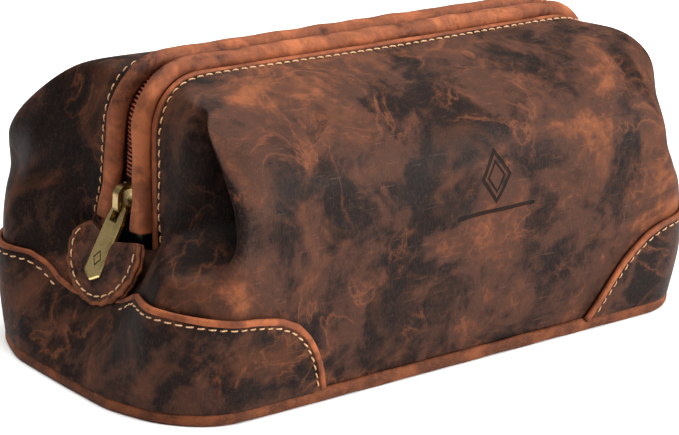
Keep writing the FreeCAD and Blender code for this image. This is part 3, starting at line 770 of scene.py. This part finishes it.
def welt(name, side, body, node):
    """The flat strip between a bead and the stitched mouth of its panel."""
    mid = (WELT_Y0 + WELT_Y1) / 2 + 0.1
    sizes = np.array([LEG_X, FRAME_TOP, FRAME_CORNER]) - WELT_SET
    pts, outs, _ = arch(*sizes, side * mid, STRIP_END, 420)
    k = 16
    angle = circle(k)
    width = (WELT_Y1 - WELT_Y0) / 2 - 0.1
    c, s = np.cos(angle), np.sin(angle)
    field = waves(pts, 9, 33)

    def section(i):
        lift = 0.75 + 0.12 * field[i]
        return np.stack([rounded(c, 0.7) * lift - 0.35, rounded(s, 0.75) * width], axis=1)

    verts, faces = sweep(pts, outs, section)
    obj = mesh_object(name, verts, faces, M_TURN)
    attribute(obj, "tone", np.repeat(0.2 * field, k))
    belongs(obj, body, node)


for tag, side in (("front", -1), ("back", 1)):
    bead(tag + "_bead_tube", side, tag + "_frame", tag + "_bead")
    welt(tag + "_welt_strip", side, tag + "_frame", tag + "_welt")


def resample(points, extra, pitch):
    """Even steps along a polyline; extra is an array carried along with it."""
    d = np.concatenate([[0], np.cumsum(np.linalg.norm(np.diff(points, axis=0), axis=1))])
    count = max(2, int(round(d[-1] / pitch)))
    at = (np.arange(count) + 0.5) * d[-1] / count
    mid = np.stack([np.interp(at, d, points[:, i]) for i in range(3)], axis=1)
    ahead = np.stack([np.interp(at + 0.5, d, points[:, i]) for i in range(3)], axis=1)
    behind = np.stack([np.interp(at - 0.5, d, points[:, i]) for i in range(3)], axis=1)
    t = ahead - behind
    t = unit(t)
    more = np.stack([np.interp(at, d, extra[:, i]) for i in range(extra.shape[1])], axis=1)
    return mid, t, more


def stitches(points, up, pitch=3.7, length=2.6, width=0.31, slant=0.14, weight=None):
    """Short waxed stitches along a line on a surface. Returns vertices, faces and their weights."""
    extra = np.concatenate([up, (np.zeros(len(points)) if weight is None else weight)[:, None]], axis=1)
    mid, t, more = resample(points, extra, pitch)
    n = unit(more[:, :3])
    b = np.cross(n, t)
    rng = np.random.default_rng(11)
    stations = [-0.5, -0.46, -0.3, 0.0, 0.3, 0.46, 0.5]
    swell = [0.25, 0.75, 1.0, 1.0, 1.0, 0.75, 0.25]
    sink = [-0.35, -0.05, 0.12, 0.2, 0.12, -0.05, -0.35]
    k = 7
    angle = circle(k)
    verts, faces, weights = [], [], []
    for i in range(len(mid)):
        turn = slant + rng.normal() * 0.05
        size = length * (1 + rng.normal() * 0.05)
        along = t[i] * math.cos(turn) + b[i] * math.sin(turn)
        across = b[i] * math.cos(turn) - t[i] * math.sin(turn)
        start = len(verts)
        for station, s, low in zip(stations, swell, sink):
            for a in angle:
                verts.append(mid[i] + along * station * size + across * math.cos(a) * width * s
                             + n[i] * (math.sin(a) * width * s + low))
                weights.append(more[i, 3])
        faces += grid_faces(len(stations), k, closed_v=True, start=start)
        last = start + (len(stations) - 1) * k
        faces += [tuple(range(start, start + k)), tuple(range(last, last + k))[::-1]]
    return np.array(verts), faces, np.array(weights)


def join(parts):
    verts, faces, shift = [], [], 0
    for v, f, _ in parts:
        verts.append(v)
        faces += [tuple(i + shift for i in g) for g in f]
        shift += len(v)
    return np.concatenate(verts), faces


def inset_line(grid, out, weights, distance, first, last):
    """A line on the skin a fixed distance below the mouth, with the skin's direction and weight along it."""
    line, up, w = [], [], []
    for i in range(first, last):
        column = grid[i, ::-1]
        d = np.concatenate([[0], np.cumsum(np.linalg.norm(np.diff(column, axis=0), axis=1))])
        at = lambda values: np.interp(distance, d, values[::-1])
        line.append([at(grid[i, :, c]) for c in range(3)])
        up.append([at(out[i, :, c]) for c in range(3)])
        w.append(at(weights[i]))
    return np.array(line), np.array(up), np.array(w)


for tag, side, grid, out in (("front", -1, FRONT, FRONT_OUT), ("back", 1, BACK, BACK_OUT)):
    first = int(np.searchsorted(ALONG, 1.25))
    last = len(ALONG) - first
    line, up, w = inset_line(grid, out, follow(ALONG, ROWS), 1.7, first, last)
    v, f, ws = stitches(line + up * 0.1, up, weight=w, slant=0.16 * side)
    obj = mesh_object(tag + "_mouth_stitches", v, f, M_THREAD)
    opens(obj, side, ws)


# ---------------- end panels, wrapped round over the main panels
# Height of the end panel's seam against the distance along the base from where it starts on the front.
SEAMS = {
    "left": ([0, 1.5, 3.2, 6, 10, 15, 22, 32, 42, 60, 76, 84, 91, 100, 112],
             [4.5, 10, 15, 21, 27, 31.8, 35.2, 37.2, 38.4, 40, 40, 36.6, 33.2, 31.4, 31]),
    "right": ([0, 4, 9, 14, 19, 25, 32, 40, 50, 62, 76, 84, 91, 100, 112],
              [4.5, 10, 18, 25, 30.2, 34.6, 37.8, 39.6, 40.2, 40.6, 40.8, 39.2, 35.6, 32.4, 31]),
}
SEAM_START = 62.0
END_PROUD = 1.3


def end_columns(end):
    """Columns of the skin round one end, from the seam's start on the front to the same on the back."""
    half = np.concatenate([np.linspace(7.0, 8.2, 60)[::-1], np.linspace(0, 7.0, 120, endpoint=False)[::-1]])
    rows = np.linspace(0, 5, 120)
    along = half if end == "left" else 2 * LAST - half
    front = skin(-1, along, rows)
    back = skin(1, along[::-1][1:], rows)
    columns = np.concatenate([front, back])
    base = columns[:, 0]
    d = np.concatenate([[0], np.cumsum(np.linalg.norm(np.diff(base[:, :2], axis=0), axis=1))])
    ax = np.abs(base[:, 0])
    first = int(np.argmax(ax > SEAM_START))
    last = len(ax) - int(np.argmax(ax[::-1] > SEAM_START))
    columns, d = columns[first:last], d[first:last]
    d = d - d[0]
    middle = d[-1] / 2
    run = np.minimum(d, 2 * middle - d)
    table_d, table_z = SEAMS[end]
    table_d = np.array(table_d, float)
    table_d[-1] = middle
    fine = np.linspace(0, middle, 400)
    z = np.interp(fine, table_d, table_z)
    kernel = np.hanning(17)
    z = np.convolve(np.pad(z, 8, mode="edge"), kernel / kernel.sum(), mode="valid")
    rear = smooth((columns[:, 0, 1] + 12) / 24)
    return columns, np.interp(run, fine, z) * (1 - 0.07 * rear)


def at_height(column, z):
    """Points of one column of the skin at given heights."""
    return np.stack([np.interp(z, column[:, 2], column[:, i]) for i in range(3)], axis=-1)


def end_panel(end):
    """The low curved panel sewn over one end. Returns its outer points and directions."""
    columns, seam = end_columns(end)
    count = 30
    grid = np.array([at_height(c, np.linspace(BASE_Z - 0.4, max(s, BASE_Z - 0.1), count))
                     for c, s in zip(columns, seam)])
    grid[..., 2] = np.maximum(grid[..., 2], BASE_Z - 0.4)
    full = np.array([at_height(c, np.linspace(BASE_Z, 44, 60)) for c in columns])
    out_full = outward(full)
    out = np.array([[at_height(np.concatenate([o, f[:, 2:3]], axis=1)[:, [0, 1, 3]], g[2])[:2] for g in col]
                    for o, f, col in zip(out_full, full, grid)])
    out = np.concatenate([out, np.zeros(out.shape[:2] + (1,))], axis=-1)
    out = unit(out)
    puff = 0.5 * waves(grid, 22, 14)[..., None]
    outer = grid + out * (END_PROUD + 0.35 + puff * np.linspace(0, 1, count)[None, :, None] * 0.6)
    outer[:, -1] = grid[:, -1] + out[:, -1] * END_PROUD
    verts, faces = thick_sheet(outer, grid + out * 0.15)
    obj = mesh_object(end + "_end_leather", verts, faces, M_END)
    # its tone carries the blots, among them painted shade on the lower left end
    tone = tone_of(grid, -1).ravel() * 0.6
    attribute(obj, "tone", np.concatenate([tone, tone]))
    belongs(obj, "bag", end + "_end_panel")
    return outer, out


def turned_edge(end, outer, out):
    """The panel's folded edge: a soft raised band along the seam, with a stitch line inside it."""
    line, normal = outer[:, -1], out[:, -1]
    tangent = np.gradient(line, axis=0)
    tangent = unit(tangent)
    down = np.cross(tangent, normal)
    down = unit(down)
    if down[:, 2].mean() > 0:
        down = -down
    k = 14
    angle = circle(k)
    c, s = np.cos(angle), np.sin(angle)
    field = waves(line, 8, 41)
    width = 1.2
    rings = []
    for i in range(len(line)):
        thick = 0.95 + 0.12 * field[i]
        centre = line[i] + down[i] * 0.7 + normal[i] * 0.05
        rings.append(centre + np.outer(rounded(c, 0.8) * thick, normal[i])
                     + np.outer(rounded(s, 0.8) * width, down[i]))
    grid = np.array(rings)
    faces = grid_faces(len(line), k, closed_v=True)
    faces += [tuple(range(k)), tuple((len(line) - 1) * k + j for j in range(k))[::-1]]
    obj = mesh_object(end + "_turned_edge", grid.reshape(-1, 3), faces, M_TURN)
    attribute(obj, "tone", np.repeat(0.25 * field, k))
    belongs(obj, "bag", end + "_end_edging")
    row = []
    for i in range(len(line)):
        target = line[i] + down[i] * 2.9
        near = outer[max(0, i - 25):i + 26].reshape(-1, 3)
        spot = near[np.argmin(np.sum((near - target) ** 2, axis=1))]
        row.append(target + normal[i] * (np.dot(spot - target, normal[i]) + 0.12))
    row = np.array(row)
    padded = np.pad(row, ((2, 2), (0, 0)), mode="edge")
    row = np.stack([np.convolve(padded[:, c], np.ones(5) / 5, mode="valid") for c in range(3)], axis=1)
    keep = (np.abs(row[:, 1]) > 17) & (row[:, 2] > BASE_Z + 1.0)
    parts = []
    for group in (np.flatnonzero(keep & (row[:, 1] < 0)), np.flatnonzero(keep & (row[:, 1] > 0))):
        parts.append(stitches(row[group], normal[group], slant=0.10))
    v, f = join(parts)
    obj = mesh_object(end + "_seam_stitches", v, f, M_THREAD)
    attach(obj, "bag")


for end in ("left", "right"):
    outer, out = end_panel(end)
    turned_edge(end, outer, out)


# ---------------- base edge
EDGE_REACH = 1.7


def base_edge():
    """The base leather's cut edge, standing round the foot of the walls."""
    ring = np.concatenate([skin(-1, ALONG, [0.0])[:, 0], skin(1, ALONG, [0.0])[::-1][1:-1, 0]])
    ring[:, 2] = 0
    tangent = np.roll(ring, -1, axis=0) - np.roll(ring, 1, axis=0)
    tangent = unit(tangent)
    out = np.cross(tangent, [0, 0, 1.0])
    if np.sum(out * ring) < 0:
        out = -out
    k = 16
    angle = circle(k)
    c, s = np.cos(angle), np.sin(angle)
    field = waves(ring, 12, 52)
    rings = []
    for i in range(len(ring)):
        height = 2.35 + 0.12 * field[i]
        beyond = np.outer(rounded(c, 0.6) * EDGE_REACH - 0.2, out[i])
        rings.append(ring[i] + beyond + np.outer(rounded(s, 0.6) * height + 2.5, [0, 0, 1.0]))
    grid = np.array(rings)
    grid[..., 2] = np.maximum(grid[..., 2], 0.05)
    faces = grid_faces(len(ring), k, closed_u=True, closed_v=True)
    obj = mesh_object("base_edge_strip", grid.reshape(-1, 3), faces, M_EDGE)
    belongs(obj, "bag", "base_piping")


base_edge()


# ---------------- zip coils
COIL_FOOT = 69.0                     # where the closed zip starts above its parked slider
COIL_SINK = 0.2
COIL_Y = 1.55
COIL_PITCH = 1.5
COIL_STRAND = 0.42
COIL_RISE, COIL_REACH = 0.75, 1.75   # half height and half width of a loop


def coil(name, side, body, node):
    """Nylon coil sewn to one tape: a wound strand whose loops hook over the centre line."""
    sizes = np.array([LEG_X, FRAME_TOP, FRAME_CORNER]) - (LEG_X - COIL_OUT + COIL_SINK)
    pts, outs, length = arch(*sizes, side * 0.5, COIL_FOOT, 900)
    pts[:, 1] = side * COIL_Y
    per_turn, k = 10, 6
    count = int(length[-1] / COIL_PITCH) * per_turn
    d = np.linspace(0, length[-1], count)
    centre = np.stack([np.interp(d, length, pts[:, i]) for i in range(3)], axis=1)
    up = np.stack([np.interp(d, length, outs[:, i]) for i in range(3)], axis=1)
    phase = np.arange(count) / per_turn * 2 * math.pi + (0 if side > 0 else math.pi)
    line = centre + up * (np.sin(phase) * COIL_RISE)[:, None]
    line += np.array([0, -side, 0]) * (np.cos(phase) * COIL_REACH)[:, None]
    tangent = np.gradient(line, axis=0)
    tangent = unit(tangent)
    ref = np.cross(tangent, up + [0.01, 0.02, 0.03])
    ref = unit(ref)
    other = np.cross(tangent, ref)
    angle = circle(k)
    ring = np.cos(angle)[None, :, None] * ref[:, None] + np.sin(angle)[None, :, None] * other[:, None]
    grid = line[:, None] + COIL_STRAND * ring
    obj = mesh_object(name, grid.reshape(-1, 3), grid_faces(count, k, closed_v=True), M_COIL)
    belongs(obj, body, node)


coil("front_coil_wound", -1, "front_frame", "front_zip_coil")
coil("back_coil_wound", 1, "back_frame", "back_zip_coil")


# ---------------- end tabs
TAB_HY = 19.3                        # half width
TAB_STRAIGHT = 6.5
TAB_TAPER = 5.0                      # how far each side comes in at the top
TAB_TOP_X, TAB_TOP_Z = 108.3, 49.2
TAB_LEAN = math.radians(21.0)
TAB_SHIFT = -1.8
TAB_PLY = 1.15
TAB_STITCH_INSET = 2.9


def tab(end):
    """Two layers of leather with a rough cut edge, sewn round, over the foot of the frame."""
    sx = -1 if end == "left" else 1
    n_edge = 90
    outline = []
    for i in range(n_edge):
        u = i / (n_edge - 1)
        arc = math.pi * TAB_HY
        total = 2 * TAB_STRAIGHT + arc
        d = u * total
        if d < TAB_STRAIGHT:
            outline.append((-TAB_HY + TAB_TAPER * (1 - d / TAB_STRAIGHT) ** 2, -d))
        elif d < TAB_STRAIGHT + arc:
            a = (d - TAB_STRAIGHT) / TAB_HY
            outline.append((-TAB_HY * math.cos(a), -TAB_STRAIGHT - TAB_HY * math.sin(a) * 0.98))
        else:
            rise = d - TAB_STRAIGHT - arc
            outline.append((TAB_HY - TAB_TAPER * (rise / TAB_STRAIGHT) ** 2, -TAB_STRAIGHT + rise))
    outline = np.array(outline)
    centre = np.array([0.0, -TAB_STRAIGHT * 0.4])
    shares = np.concatenate([np.linspace(0, 0.9, 12), [0.95, 0.985, 1.0]])

    def place(flat, lift):
        """From the tab's own plane to the bag: it leans out, curls in at the top and cups a little."""
        y, v = flat[..., 0], flat[..., 1] + 2.0
        down = -v
        curl = 1.2 * np.exp(-((down + 2) / 4) ** 2)
        dip = 1.8 * np.exp(-(y / 9) ** 2) * np.exp(-((down + 2) / 3) ** 2)
        x = TAB_TOP_X + down * math.sin(TAB_LEAN) + 0.003 * y * y - curl
        z = TAB_TOP_Z - down * math.cos(TAB_LEAN) - dip
        p = np.stack([x, y + TAB_SHIFT, z], axis=-1)
        p[..., 0] += lift * math.cos(TAB_LEAN)
        p[..., 2] += lift * math.sin(TAB_LEAN)
        return p * [sx, 1, 1]

    rng = np.random.default_rng(5 if end == "left" else 6)
    for layer, (lift, thick, grow) in enumerate(((0.0, 1.1, 0.5), (TAB_PLY, TAB_PLY, 0.0))):
        fuzz = rng.normal(size=n_edge) * 0.13 + 0.25 * np.sin(np.arange(n_edge) * 0.9 + layer)
        edge = outline.copy()
        norm = outline - centre
        norm = unit(norm)
        edge += norm * (grow + fuzz)[:, None]
        flat = centre + shares[None, :, None] * (edge - centre)[:, None, :]
        crown = 0.55 * (1 - shares ** 4) * layer
        rounding = np.where(shares > 0.93, -0.25 * ((shares - 0.93) / 0.07) ** 2, 0.0)
        outer = place(flat, lift + thick + (crown + rounding)[None, :])
        inner = place(flat, lift)
        verts, faces = thick_sheet(outer, inner)
        name = end + ("_tab_face" if layer else "_tab_back")
        obj = mesh_object(name, verts, faces, M_TAB)
        obj.data.materials.append(M_EDGE)
        nu, nv = outer.shape[:2]
        limit = nv - 3
        for poly in obj.data.polygons:
            rows = [v % nv for v in poly.vertices]
            if min(rows) >= limit:
                poly.material_index = 1
        tone = np.tile(np.where(shares > 0.9, 0.7, 0.0), nu)
        attribute(obj, "tone", np.concatenate([tone, tone]))
        belongs(obj, "bag", end + ("_zip_tab" if layer else "_zip_tab_backing"))
    inset = outline - TAB_STITCH_INSET * unit(outline - centre)
    line = place(inset, 2 * TAB_PLY + 0.45)
    up = np.tile(np.array([sx * math.cos(TAB_LEAN), 0, math.sin(TAB_LEAN)]), (len(line), 1))
    v, f, _ = stitches(line[4:-4], up[4:-4], pitch=3.8, length=2.9, slant=0.08)
    obj = mesh_object(end + "_tab_stitches", v, f, M_THREAD)
    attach(obj, "bag")


tab("left")
tab("right")


# ---------------- CAD nodes that stay
def paint(node, material, bevel):
    """A node whose CAD shape is right gets a material, and soft edges."""
    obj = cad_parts[node]
    obj.data.materials.clear()
    obj.data.materials.append(material)
    if bevel:
        m = obj.modifiers.new("soft_edges", "BEVEL")
        m.width = bevel * MM
        m.segments = 3
        m.limit_method = "ANGLE"
        m.angle_limit = math.radians(35)
        m.harden_normals = True


for node, material, bevel in (
    ("base_panel", M_BASE, 0.5), ("base_board", M_BOARD, 0.3),
    ("front_frame_wire", M_STEEL, 0), ("back_frame_wire", M_STEEL, 0),
    ("left_hinge_bracket", M_STEEL, 0.15), ("right_hinge_bracket", M_STEEL, 0.15),
    ("front_zip_tape", M_TAPE, 0), ("back_zip_tape", M_TAPE, 0),
    ("left_zip_stop", M_BRASS, 0.12), ("right_zip_stop", M_BRASS, 0.12),
    ("slider_body", M_BRASS, 0.25), ("slider_crown", M_BRASS, 0.35), ("pull_tab", M_PULL, 0.3),
):
    paint(node, material, bevel)

# ---------------- stage, light and camera
scene = bpy.context.scene
floor_mesh = bpy.data.meshes.new("floor")
floor_mesh.from_pydata([(-6, -6, 0), (6, -6, 0), (6, 6, 0), (-6, 6, 0)], [], [(0, 1, 2, 3)])
floor = bpy.data.objects.new("floor", floor_mesh)
scene.collection.objects.link(floor)
pale = Nodes("pale_floor")
floor_mesh.materials.append(pale.finish((0.90, 0.90, 0.90, 1), 0.9, specular=0.1))

world = bpy.data.worlds.new("studio")
scene.world = world
world.use_nodes = True
world.node_tree.nodes["Background"].inputs["Color"].default_value = (1.0, 1.0, 1.0, 1)
world.node_tree.nodes["Background"].inputs["Strength"].default_value = 0.24


def area(name, place, aim, size, power):
    data = bpy.data.lights.new(name, "AREA")
    data.shape = "RECTANGLE"
    data.size, data.size_y = size
    data.energy = power
    obj = bpy.data.objects.new(name, data)
    scene.collection.objects.link(obj)
    obj.location = place
    obj.rotation_euler = (Vector(aim) - Vector(place)).to_track_quat("-Z", "Y").to_euler()


area("top", (0, 0.1, 2.2), (0, 0, 0), (3.0, 3.0), 92)
area("key", (0.9, -1.5, 0.8), (0, 0, 0.05), (0.9, 0.7), 38)

AZIMUTH, ELEVATION, ROLL = math.radians(-40.95), math.radians(18.40), math.radians(3.29)
DISTANCE = 0.93106
TARGET = Vector((-0.004305, 0.003588, 0.0371))
SENSOR, LENS = 36.0, 135.2943
level = Vector((math.sin(AZIMUTH), -math.cos(AZIMUTH), 0))
back = level * math.cos(ELEVATION) + Vector((0, 0, math.sin(ELEVATION)))
right = Vector((math.cos(AZIMUTH), math.sin(AZIMUTH), 0))
up = back.cross(right)
right_r = right * math.cos(ROLL) + up * math.sin(ROLL)
up_r = up * math.cos(ROLL) - right * math.sin(ROLL)
camera_data = bpy.data.cameras.new("camera")
camera_data.sensor_width = SENSOR
camera_data.lens = LENS
camera_data.clip_end = 20
camera = bpy.data.objects.new("camera", camera_data)
scene.collection.objects.link(camera)
rotation = Matrix((right_r, up_r, back)).transposed()
camera.matrix_world = Matrix.Translation(TARGET + back * DISTANCE) @ rotation.to_4x4()
scene.camera = camera
scene.view_settings.view_transform = "Standard"
scene.view_settings.look = "Medium High Contrast"
